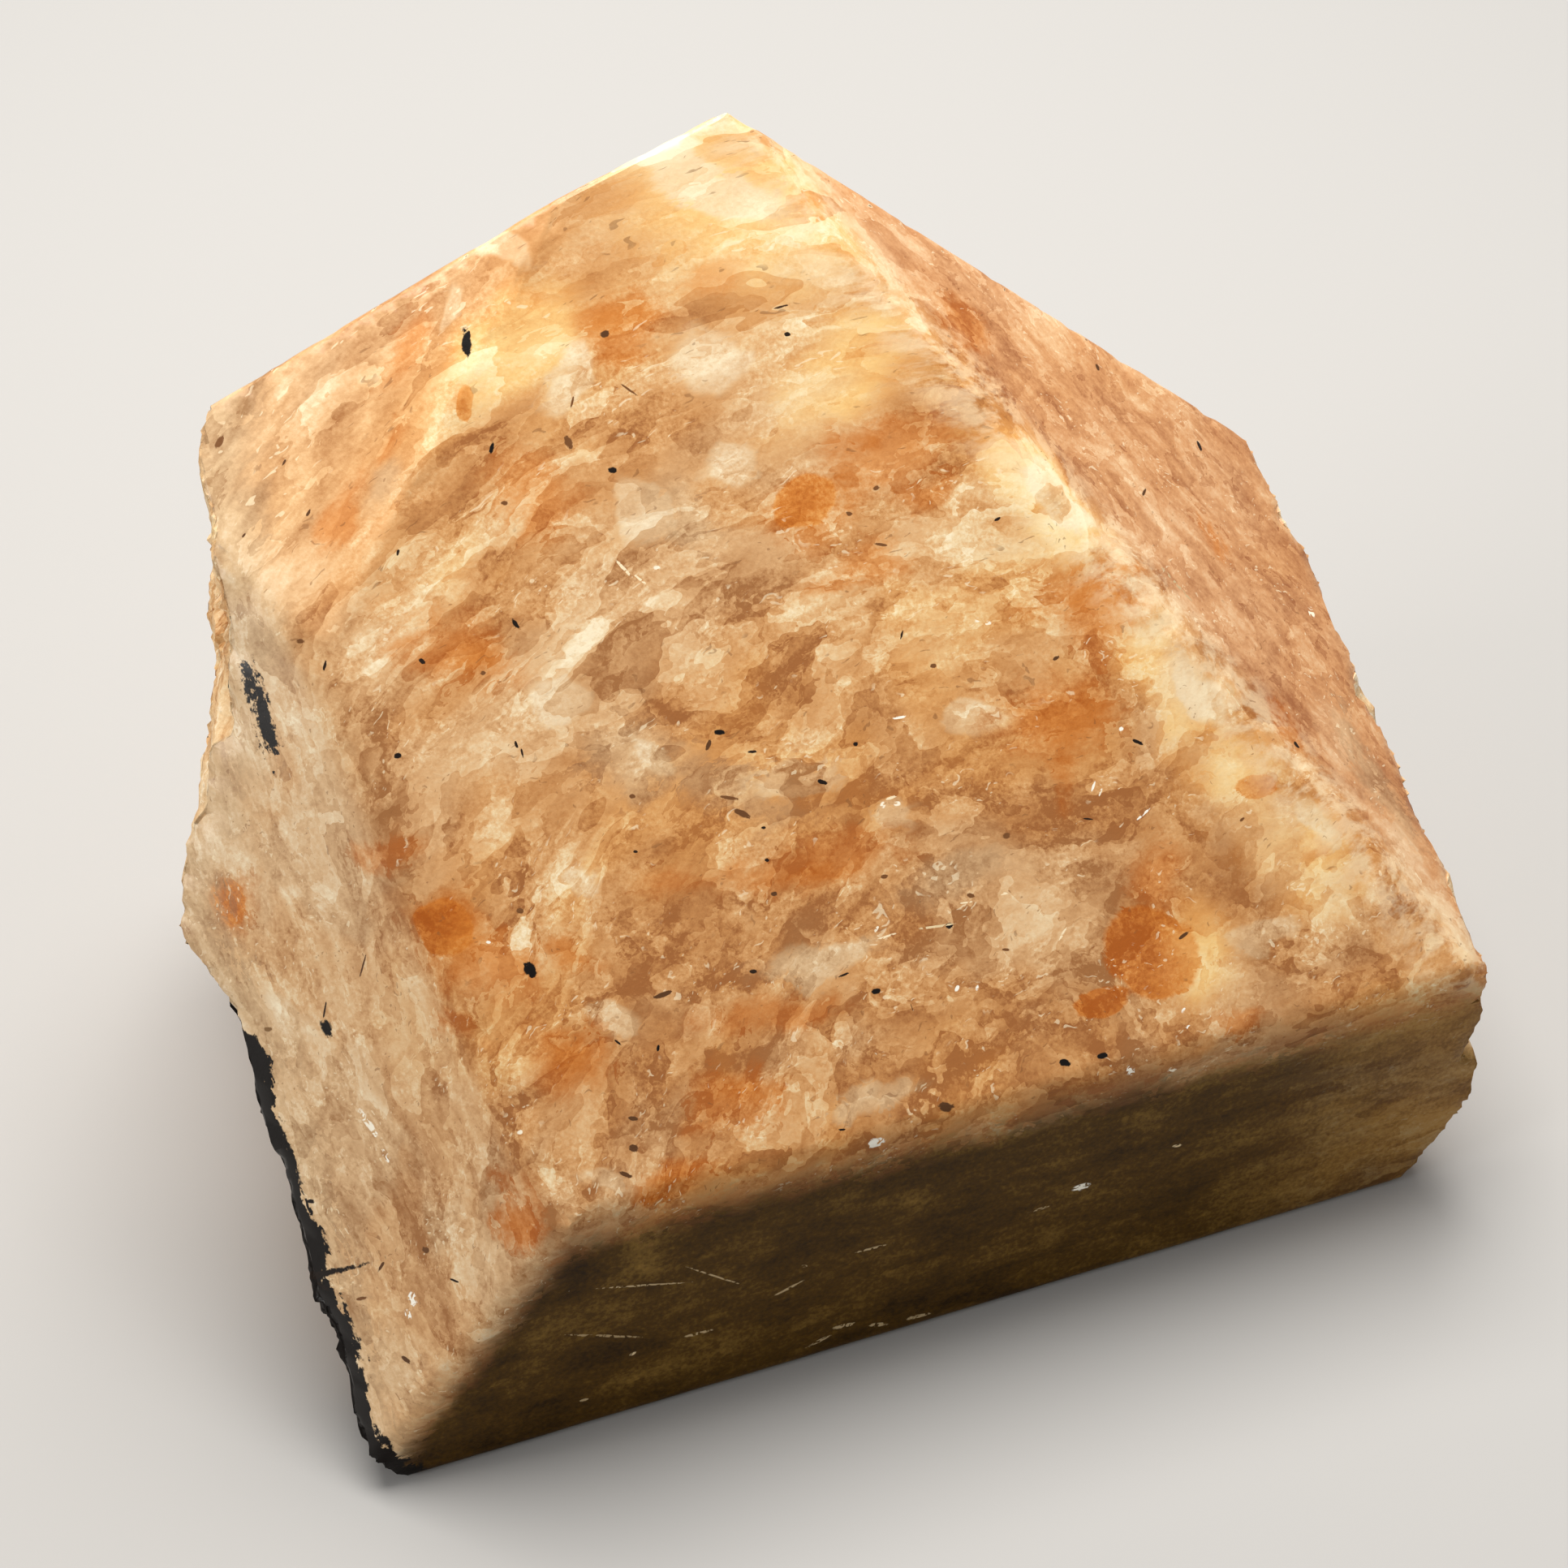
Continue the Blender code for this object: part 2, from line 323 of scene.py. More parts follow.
# Patches of the rock that show in the photograph, each as x, y, half length, half width (pixels)
# and angle (degrees, anticlockwise)
patches = {
    "orange": [  # clear orange crystals with sharp edges
        (1420, 1176, 66, 54, -30), (1356, 1237, 38, 16, 15), (990, 618, 42, 32, 30),
        (1548, 965, 27, 15, 10), (575, 497, 13, 22, 0), (545, 1143, 38, 34, 0),
        (279, 1110, 22, 32, -10),
    ],
    "rust": [  # orange that fades into the rock round it
        (775, 390, 64, 40, 20), (765, 445, 40, 22, -15), (922, 1353, 40, 30, 0),
        (1310, 888, 84, 50, 10), (1320, 735, 90, 46, 15), (1137, 607, 40, 22, 25),
        (575, 808, 50, 34, 0), (702, 1296, 34, 44, 20), (636, 1505, 26, 56, 8), (826, 1462, 64, 22, 22),
        (696, 1177, 44, 24, -15), (1311, 960, 24, 40, 0), (1580, 885, 14, 46, 32),
        (990, 625, 80, 54, 30), (545, 1143, 66, 50, 0), (1010, 1068, 60, 18, 12),
        (1496, 660, 12, 50, 34), (279, 1112, 38, 50, -10), (1050, 545, 60, 26, 30),
        (480, 560, 12, 50, -20),
    ],
    "amber": [  # wide orange stains with soft edges
        (771, 410, 75, 60, 10), (880, 330, 60, 35, 20), (1360, 760, 60, 80, -20),
        (1300, 880, 90, 70, 10), (1425, 1080, 45, 55, 0), (1000, 1060, 130, 36, 12),
        (820, 1090, 60, 34, 5), (560, 800, 95, 55, -10), (950, 1250, 110, 26, 10),
        (900, 1360, 70, 45, 10), (600, 1180, 90, 60, -30), (700, 1310, 60, 60, 0),
        (640, 1500, 34, 70, 8), (1100, 560, 110, 46, 30), (1060, 700, 80, 30, 20),
        (820, 1455, 70, 22, 22), (480, 1045, 55, 25, 10), (1530, 1264, 34, 22, 15),
        (660, 620, 60, 70, 60), (500, 420, 24, 70, -25), (420, 640, 24, 80, -28),
        (1190, 400, 26, 46, 40), (560, 1262, 36, 24, 0),
    ],
    "pale": [  # cream feldspar, and a few painted highlights along the right ridge
        (872, 445, 58, 44, -20), (790, 628, 62, 34, -45), (1015, 1180, 72, 27, 12),
        (1300, 615, 62, 26, -40), (1618, 1012, 50, 20, -48), (1200, 892, 58, 22, 12),
        (806, 936, 34, 16, -35), (752, 1257, 52, 18, -20), (742, 1452, 40, 20, -10),
        (360, 1262, 52, 22, -40), (1100, 1000, 34, 22, 0), (718, 1078, 32, 24, 20),
        (1078, 1350, 60, 22, 18), (700, 470, 30, 52, -30), (1640, 900, 20, 60, 30),
        (1735, 1060, 16, 80, 27), (1790, 1130, 12, 70, 27), (1480, 860, 26, 60, 38),
        (560, 366, 14, 44, -15), (690, 860, 40, 28, -20), (900, 570, 46, 22, 40),
        (1560, 1150, 60, 22, 10), (455, 1385, 28, 60, 25), (980, 960, 70, 28, 15),
        (620, 300, 60, 22, -30), (860, 222, 110, 42, -22),
    ],
    "glow": [  # painted light: the yellow light near the point and along the right ridge
        (905, 245, 185, 115, -20), (1040, 470, 120, 60, 40), (1290, 610, 130, 50, -45),
        (1450, 840, 60, 120, 35), (1600, 1050, 110, 80, -30), (1520, 960, 60, 90, 35),
        (640, 420, 90, 60, 30), (1480, 1180, 60, 80, 0),
    ],
    "brown": [  # duller, darker grains
        (1015, 1117, 60, 24, 15), (1053, 1085, 18, 12, 0), (1265, 968, 20, 16, 0),
        (1287, 990, 13, 8, 0), (1073, 754, 15, 27, 0), (919, 1117, 28, 13, 0), (654, 1078, 15, 13, 0),
        (333, 1092, 13, 20, 0), (1222, 850, 78, 6, 15), (1190, 933, 56, 4, 15), (1295, 1206, 42, 9, 35),
        (486, 1032, 46, 11, 12), (840, 875, 40, 14, -10), (920, 1210, 60, 20, 10),
        (610, 700, 30, 14, 40), (1184, 391, 20, 30, 35), (1230, 480, 10, 50, 32),
        (1300, 560, 8, 70, 33), (1380, 640, 7, 60, 33), (560, 1262, 30, 18, 0), (900, 1311, 50, 18, 12),
        (830, 1380, 36, 14, 10), (465, 1490, 12, 24, 30),
    ],
    "grey": [  # milky grey feldspar
        (306, 880, 26, 60, 8), (262, 1180, 30, 80, 20), (420, 1580, 40, 90, 20),
        (470, 1700, 60, 60, 20), (900, 975, 110, 40, -20), (1078, 1350, 60, 16, 18),
        (1180, 1080, 90, 30, 20), (1690, 950, 18, 130, 27), (780, 940, 60, 60, 0),
        (480, 610, 40, 20, 60), (340, 1270, 60, 30, -40), (850, 640, 60, 40, -45),
        (1010, 1180, 90, 24, 12),
    ],
    "mica": [  # the black streak in the weathered band
        (316, 852, 11, 32, 8), (325, 900, 10, 36, 8),
    ],
}
seamTop = (318, 1296)  # the pixel where the black seam down the left edge starts


# Small marks, each as x, y, half length, half width (pixels), angle and tone: 0 is black mica,
# 0.5 brown, 0.75 a pale scratch and 1 a painted glint, a bright painted reflection
spots = [
    (322, 880, 34, 4, 98, 0.0), (575, 422, 19, 6, 92, 0.0), (606, 552, 9, 3, 80, 0.0),
    (755, 579, 6, 4, 0, 0.1), (970, 412, 4, 3, 0, 0.2), (962, 378, 10, 1.6, 15, 0.35),
    (775, 480, 12, 1.5, -35, 0.5), (705, 495, 8, 1.5, 75, 0.5), (745, 411, 6, 5, 20, 0.4),
    (653, 1195, 11, 8, -60, 0.0), (403, 1267, 12, 7, -60, 0.0), (887, 902, 8, 3.5, 0, 0.0),
    (873, 918, 7, 3, 70, 0.4), (927, 926, 6, 2, 0, 0.3), (1054, 917, 3.5, 3, 0, 0.1),
    (1013, 964, 6, 3, -20, 0.1), (636, 917, 5, 2, -70, 0.2), (643, 927, 6, 1.5, -75, 0.3),
    (490, 931, 5, 4, 0, 0.1), (520, 815, 5, 3, -45, 0.2), (635, 768, 8, 3, -50, 0.1),
    (400, 820, 7, 2, 80, 0.3), (380, 632, 5, 2, 60, 0.4), (490, 680, 5, 2, 75, 0.3),
    (779, 981, 4, 3, 0, 0.5), (898, 983, 13, 2.5, -8, 0.5), (914, 1002, 13, 4, -25, 0.45),
    (941, 1020, 3, 2, 0, 0.2), (945, 1060, 3, 2.5, 0, 0.2), (954, 1102, 4, 3, 0, 0.4),
    (928, 1197, 5, 3, 0, 0.3), (817, 1225, 12, 3.5, 20, 0.4), (761, 1284, 6, 1.5, -40, 0.1),
    (811, 1291, 5, 2, 80, 0.0), (1040, 1201, 8, 1.6, 22, 0.2), (1079, 1221, 6, 4, 10, 0.0),
    (780, 1378, 6, 3, -10, 0.4), (780, 1415, 7, 5, -20, 0.4), (770, 1447, 9, 3, -20, 0.4),
    (1037, 1392, 5, 1.5, 0, 0.1), (783, 1049, 3, 2, 0, 0.3), (641, 1122, 5, 4, 0, 0.5),
    (1170, 1141, 5, 4, 0, 0.1), (1312, 1310, 8, 5, -10, 0.0), (1359, 1301, 7, 4, 10, 0.0),
    (1458, 1153, 9, 2.5, 38, 0.4), (1166, 1363, 10, 6, 0, 0.4), (1196, 1103, 5, 3, 0, 0.5),
    (1340, 1009, 7, 1.3, -5, 0.2), (1111, 782, 5, 1.5, 75, 0.3), (1401, 914, 8, 2.5, -25, 0.1),
    (1229, 640, 5, 2, 30, 0.2), (1301, 811, 5, 2.5, 30, 0.4), (1086, 671, 9, 2, -8, 0.5),
    (1046, 633, 4, 3, 0, 0.5), (1080, 601, 5, 3, 20, 0.5), (1478, 550, 7, 2, -70, 0.3),
    (1352, 452, 5, 2, -70, 0.4), (1597, 918, 6, 2, -55, 0.2), (1410, 607, 5, 2, 70, 0.4),
    (700, 545, 9, 5, -60, 0.5), (622, 620, 5, 3, 0, 0.5), (300, 660, 4, 1.5, 50, 0.4),
    (270, 545, 9, 4, 60, 0.5), (350, 570, 5, 1.5, 60, 0.4), (595, 830, 4, 3, 0, 0.5),
    (370, 790, 4, 3, 0, 0.5), (300, 1585, 8, 3, -40, 0.1), (398, 1585, 10, 3, -35, 0.1),
    (383, 1480, 5, 3, 0, 0.1), (525, 1540, 5, 4, 0, 0.45), (470, 1560, 8, 2, 60, 0.4),
    (445, 1600, 7, 2.5, 10, 0.5), (500, 1675, 8, 3, -40, 0.4), (560, 1578, 7, 1.5, -20, 0.2),
    (400, 1245, 12, 1.3, 80, 0.3), (447, 1190, 16, 1.2, 75, 0.4), (330, 1268, 6, 3, 0, 0.6),
    (1240, 1030, 5, 4, 0, 0.5), (1530, 1010, 4, 2, 45, 0.5), (1240, 1170, 5, 2, 0, 0.5),
    (1090, 1080, 5, 3, 0, 0.5), (1150, 820, 4, 3, 0, 0.5), (1408, 1004, 12, 1.6, 40, 1.0),
    (1347, 969, 7, 1.6, 70, 1.0), (1356, 976, 6, 1.4, 70, 0.95), (1179, 1218, 4, 2.5, 60, 1.0),
    (1204, 1217, 4, 2, 80, 1.0), (1393, 1319, 6, 4, 30, 1.0), (1444, 1318, 5, 3, 0, 0.95),
    (1234, 1101, 9, 2, 5, 0.9), (1458, 1245, 4, 2, 60, 1.0), (1465, 1266, 4, 3, 0, 1.0),
    (1204, 764, 4, 3, 0, 0.95), (1217, 768, 4, 3, 0, 0.95), (1110, 884, 13, 1.6, 10, 1.0),
    (810, 700, 5, 3, 0, 0.95), (1080, 1408, 13, 4, 20, 1.0), (1331, 1463, 12, 4, 15, 1.0),
    (1105, 990, 5, 3, 0, 0.95), (1088, 992, 4, 4, 0, 0.95), (1098, 983, 7, 2, 20, 0.9),
    (455, 1385, 22, 4, -58, 0.97), (476, 1425, 9, 4, -60, 1.0), (508, 1600, 5, 9, 0, 1.0),
    (503, 1620, 4, 7, 10, 1.0), (602, 1161, 3, 2, 0, 1.0), (768, 700, 18, 2, -45, 0.9),
    (790, 715, 14, 1.6, -40, 0.9), (712, 1160, 6, 1.4, 70, 0.9), (1080, 1145, 5, 2, 60, 0.95),
    (1381, 898, 3, 3, 0, 1.0), (1450, 720, 30, 1.4, -48, 0.8), (1616, 755, 4, 7, -10, 0.95),
    (1150, 1142, 30, 1.6, 8, 0.85), (1090, 1155, 20, 1.5, 20, 0.9), (790, 1584, 60, 1.2, 4, 0.8),
    (880, 1572, 36, 1.2, -18, 0.8), (745, 1646, 50, 1.6, -2, 0.78), (860, 1643, 20, 1.8, 14, 0.8),
    (972, 1587, 20, 1.4, 28, 0.8), (990, 1560, 5, 1.6, 0, 0.8), (780, 1668, 5, 1.6, 30, 0.85),
    (1010, 1652, 18, 1.8, 26, 0.8), (1040, 1634, 16, 2.4, 12, 0.8), (1082, 1632, 12, 2.4, 4, 0.8),
    (1130, 1622, 16, 2.2, 12, 0.8), (1075, 1538, 22, 1.4, 14, 0.8), (1280, 1490, 14, 1.4, 16, 0.8),
    (1450, 1412, 6, 2, 10, 0.85), (720, 1725, 6, 2, 10, 0.8), (640, 1395, 4, 3, 0, 0.95),
    (1520, 860, 30, 1.2, -52, 0.85), (1190, 1112, 10, 1.2, 8, 0.9), (1310, 1150, 10, 1.6, 60, 0.9),
]
marks = {  # lengths in millimetres
    "nearFace": 2.5,           # a mark this close to a polished face lies along it
    "softStray": 0.45, "sharpStray": 0.18, "sharp": ("orange", "mica"),
    "strayWide": 2.6, "strayFine": 1.1, "straySeed": 5,
    "patchDepth": 0.4,         # how far a patch reaches inwards, for each millimetre of its half sizes
    "patchEnd": 4.0,           # the value far from any patch, where 1 is a patch's edge
    "rimFrom": -12.0, "rimAbove": 0.3,
    "spotReach": 1.5,          # how far round a spot its own coordinates are kept
    "spotSpacing": 3.6,        # spots nearer to each other than this are kept in different attributes
    "spotFar": 9.0,
}
sharpAngle = 35.0  # edges that turn more than this many degrees look sharp


# Patches are read at places that stray a little from the true ones, which makes their outlines crooked
def strayedPlaces(mesh, amount):
    places = []
    for vert in mesh.vertices:
        bend = noise.noise_vector(vert.co / marks["strayWide"]) * 2.0
        bend += noise.noise_vector(vert.co / marks["strayFine"])
        places.append(vert.co + bend * amount)
    return np.array([tuple(place) for place in places])


def writeValues(mesh, name, kind, field, values):
    made = mesh.attributes.new(name=name, type=kind, domain="POINT")
    made.data.foreach_set(field, np.ascontiguousarray(values, dtype=np.float32).ravel())


# The distance to the left rim, and to the part of it below the seam's top
def writeRim(mesh):
    rim = [vert.co.copy() for vert in stoneMesh.verts
           if vert.co.x < marks["rimFrom"] and vert.co.z > marks["rimAbove"]
           and len({face[polishedLayer] for face in vert.link_faces}) == 2]
    seamHeight = spotOnStone(*seamTop, 10, 10, 0)[0].z
    for name, top in (("rim", math.inf), ("seam", seamHeight)):
        kept = [place for place in rim if place.z < top]
        tree = KDTree(len(kept))
        for number, place in enumerate(kept):
            tree.insert(place, number)
        tree.balance()
        writeValues(mesh, name, "FLOAT", "value", np.array([tree.find(v.co)[2] for v in mesh.vertices]))


def writePatches(mesh, name, group, places):
    nearest = np.full(len(places), marks["patchEnd"])
    for patch in group:
        centre, along, across, normal, length, width = spotOnStone(*patch)
        away = places - np.array(centre)
        depth = marks["patchDepth"] * (length + width)
        parts = [away @ np.array(axis) / size
                 for axis, size in ((along, length), (across, width), (normal, depth))]
        nearest = np.minimum(nearest, np.sqrt(sum(part * part for part in parts)))
    writeValues(mesh, name, "FLOAT", "value", nearest)


def spotSets():
    sets = []
    for x, y, length, width, angle, tone in spots:
        spot = spotOnStone(x, y, length, width, angle) + (tone,)
        for chosen in sets:
            if all((spot[0] - other[0]).length > marks["spotSpacing"] + spot[4] + other[4]
                   for other in chosen):
                chosen.append(spot)
                break
        else:
            sets.append([spot])
    return sets


def writeSpots(mesh, sets):
    places = np.empty(len(mesh.vertices) * 3, dtype=np.float32)
    mesh.vertices.foreach_get("co", places)
    places = places.reshape(-1, 3)
    for number, chosen in enumerate(sets):
        values = np.full((len(places), 4), marks["spotFar"])
        for centre, along, across, normal, length, width, tone in chosen:
            away = places - np.array(centre)
            parts = [away @ np.array(axis) for axis in (along, across, normal)]
            outside = np.maximum(np.abs(parts[0]) - length, np.abs(parts[1]) - width)
            near = np.maximum(outside, np.abs(parts[2])) < marks["spotReach"]
            values[near, 0] = parts[0][near] / length
            values[near, 1] = parts[1][near] / width
            values[near, 2] = 0.0
            values[near, 3] = tone
        writeValues(mesh, "spots" + str(number), "FLOAT_COLOR", "color", values)


def makeStone():
    broken = [0.0 if any(face[polishedLayer] for face in vert.link_faces) else 1.0
              for vert in stoneMesh.verts]
    mesh = bpy.data.meshes.new("sunstone")
    stoneMesh.to_mesh(mesh)
    noise.seed_set(marks["straySeed"])
    soft = strayedPlaces(mesh, marks["softStray"])
    sharp = strayedPlaces(mesh, marks["sharpStray"])
    for name, group in patches.items():
        writePatches(mesh, name, group, sharp if name in marks["sharp"] else soft)
    writeRim(mesh)
    sets = spotSets()
    writeSpots(mesh, sets)
    writeValues(mesh, "broken", "FLOAT", "value", np.array(broken))
    mesh.transform(Matrix.Scale(mm, 4))
    mesh.shade_smooth()
    mesh.set_sharp_from_angle(angle=math.radians(sharpAngle))
    piece = bpy.data.objects.new("sunstone-feldspar", mesh)
    bpy.context.scene.collection.objects.link(piece)
    print("stone:", len(mesh.vertices), "vertices,", len(sets), "sets of spots")
    return piece, len(sets)


def paint(red, green, blue):
    levels = [value / 255.0 for value in (red, green, blue)]
    return tuple(v / 12.92 if v <= 0.04045 else ((v + 0.055) / 1.055) ** 2.4 for v in levels) + (1.0,)


# One output of a material's nodes. The operators add Math nodes.
class Wire:
    def __init__(self, tree, socket=None):
        self.tree = tree
        self.socket = socket

    def node(self, kind, settings, inputs, output=0):
        made = self.tree.nodes.new(kind)
        for name, value in settings.items():
            if name == "stops":
                stops = made.color_ramp.elements
                while len(stops) < len(value):
                    stops.new(0.5)
                for stop, (place, colour) in zip(stops, value):
                    stop.position = place
                    stop.color = colour
            else:
                setattr(made, name, value)
        for name, value in inputs.items():
            if isinstance(value, Wire):
                value.into(made.inputs[name])
            else:
                made.inputs[name].default_value = value
        return Wire(self.tree, made.outputs[output])

    def into(self, socket):
        self.tree.links.new(self.socket, socket)

    def maths(self, operation, first, second):
        return self.node("ShaderNodeMath", {"operation": operation}, {0: first, 1: second})

    def __add__(self, other):
        return self.maths("ADD", self, other)

    def __sub__(self, other):
        return self.maths("SUBTRACT", self, other)

    def __rsub__(self, other):
        return self.maths("SUBTRACT", other, self)

    def __mul__(self, other):
        return self.maths("MULTIPLY", self, other)

    def __truediv__(self, other):
        return self.maths("DIVIDE", self, other)

    __radd__ = __add__
    __rmul__ = __mul__

    def least(self, other):
        return self.maths("MINIMUM", self, other)

    def most(self, other):
        return self.maths("MAXIMUM", self, other)

    def fraction(self):
        return self.maths("FRACT", self, 0.0)

    def rise(self, low, high):
        return self.node("ShaderNodeMapRange", {"interpolation_type": "SMOOTHSTEP"},
                         {"Value": self, "From Min": low, "From Max": high})

    def fall(self, low, high):
        return 1.0 - self.rise(low, high)

    def vector(self, operation, other, output="Vector"):
        return self.node("ShaderNodeVectorMath", {"operation": operation}, {0: self, 1: other}, output)

    def along(self, axis):
        return self.vector("DOT_PRODUCT", axis, "Value")

    def length(self):
        return self.node("ShaderNodeVectorMath", {"operation": "LENGTH"}, {0: self}, "Value")

    def squeezed(self, x, y, z):
        return self.vector("DIVIDE", (x, y, z))

    def noise(self, detail, roughness, output=0):
        return self.node("ShaderNodeTexNoise", {}, {"Vector": self, "Scale": 1.0, "Detail": detail,
                                                    "Roughness": roughness}, output)

    def cells(self):
        return self.node("ShaderNodeTexVoronoi", {}, {"Vector": self, "Scale": 1.0}, "Color")

    def coloured(self, stops):
        return self.node("ShaderNodeValToRGB", {"stops": stops}, {0: self})

    def covered(self, factor, colour):
        return self.node("ShaderNodeMix", {"data_type": "RGBA"}, {0: factor, 6: self, 7: colour}, 2)

    def attribute(self, name, output="Fac"):
        return self.node("ShaderNodeAttribute", {"attribute_name": name}, {}, output)


# The patterns in the rock are read in one of three places, all in millimetres: "place" is the
# stone's own, "bent" runs across, up and through its layers and bends with them, and "rippled"
# has smaller bends as well
layerBends = {
    "turn": {"From Min": -26.0, "From Max": 14.0, "To Min": -0.8, "To Max": -0.2},  # left to right
    "bend": ((7.0, 7.0, 4.0), (4.0, 4.0, 1.2), 1.0, 0.5),      # size, reach, detail and roughness
    "ripple": ((1.3, 1.3, 0.9), (1.6, 1.6, 0.5), 2.0, 0.65),
}
patterns = {  # the place, size, detail and roughness of each
    "tone": ("bent", (9.0, 7.0, 2.6), 3.0, 0.55), "hue": ("bent", (13.0, 11.0, 6.0), 3.0, 0.6),
    "layers": ("bent", (9.0, 9.0, 0.5), 3.0, 0.62), "streaks": ("bent", (1.9, 1.1, 0.5), 4.0, 0.64),
    "clusters": ("bent", (3.5, 3.5, 2.0), 3.0, 0.7), "wideSteps": ("bent", (10.0, 8.0, 2.4), 4.0, 0.56),
    "narrowSteps": ("rippled", (4.2, 3.2, 1.2), 5.0, 0.6), "flecks": ("rippled", (0.5, 0.24, 0.2), 1.0, 0.5),
    "crumbs": ("place", (0.26, 0.26, 0.26), 3.0, 0.7), "stains": ("place", (6.0, 6.0, 9.0), 3.0, 0.6),
}
patternSteps = {"wideSteps": 4.5, "narrowSteps": 5.0}  # how many sharp-edged steps each is cut in
patternCells = {  # size, and what counts of each channel of a cell's colour
    "grains": ((3.4, 2.6, 1.0), (0.6, 0.4, 0.0)), "small": ((1.1, 0.85, 0.45), (0.3, 0.3, 0.4)),
}
patternMixes = {  # what each pattern adds
    "edges": {"streaks": 0.9, "crumbs": 0.35, "small": 0.3, "narrowSteps": 0.35},
    "main": {"tone": 0.82, "wideSteps": 0.22, "narrowSteps": 0.2, "grains": 0.52, "layers": 0.3},
    "detail": {"streaks": 0.7, "small": 0.5, "crumbs": 0.8},
    "sides": {"layers": 0.9, "tone": 0.8, "streaks": 0.6, "crumbs": 0.5, "grains": 0.3, "narrowSteps": 0.25},
    "rock": {"tone": 0.7, "layers": 0.6, "crumbs": 0.7, "small": 0.6, "grains": 0.5, "narrowSteps": 0.4},
    "oliveAndShadedWall": {"layers": 0.35, "tone": 1.1, "crumbs": 0.9, "streaks": 0.5, "hue": 0.7, "clusters": 0.4,
             "grains": 0.2},
    "roughness": {"crumbs": 0.25, "streaks": 0.2},
}
patternEdges = {  # the pattern, and its values from none to full, of what it decides
    "busy": ("clusters", 0.38, 0.6), "golden": ("hue", 0.52, 0.62), "milky": ("hue", 0.5, 0.4),
    "bare": ("hue", 0.42, 0.55), "stained": ("stains", 0.55, 0.68), "ridgeHighlight": ("streaks", 0.4, 0.6),
    "paintedGlintFlecks": ("flecks", 0.66, 0.7), "paintedGlintPlaces": ("clusters", 0.5, 0.58),
    "darkFlecks": ("flecks", 0.32, 0.28), "darkPlaces": ("clusters", 0.5, 0.42),
    "specks": ("flecks", 0.74, 0.77), "speckPlaces": ("clusters", 0.5, 0.54),
    "flakes": ("flecks", 0.42, 0.5),
}
patchEdges = {  # where each group of patches is full and where it ends, in radii, and how far that strays
    "pale": (0.7, 1.05, 0.9), "brown": (0.5, 1.1, 1.0), "glow": (0.3, 1.3, 0.7),
    "amber": (0.35, 1.15, 1.0), "rust": (0.2, 1.15, 1.1), "grey": (0.3, 1.2, 1.3),
}
sideEdges = {  # depths in millimetres where each face fades out, and where the main one has faded
    "right": (0.3, 1.2, 0.2, 1.4), "leftUpper": (0.3, 1.4, 0.1, 1.2), "leftLower": (0.3, 1.6, 0.2, 1.8),
}
depthEdges = {  # depths under the faces in millimetres
    "ridgeHighlight": (0.3, 1.8), "behind": (0.2, 0.6), "oliveAndShadedWall": (0.15, 1.3), "wallTop": (0.1, 2.4),
    "uncoated": (0.1, 0.8),
}
blackMicaAndShade = {
    "width": 0.55, "widthVaries": 0.9, "spread": 9.0, "spreadLess": 0.5, "leastSpread": 1.0,
    "seamCrooked": 1.5, "seamClusters": 1.6, "seamEdge": (0.85, 1.0),
    "streakCrooked": 1.2, "streakCrumbs": 1.6, "streakEdge": (1.05, 1.4),
}
orangeCrystals = {
    "crooked": 0.2, "grained": 0.15, "edge": (0.9, 1.04),
    "level": 0.3, "contrast": 1.2, "rimLight": 0.4, "crumbs": 0.5,
}
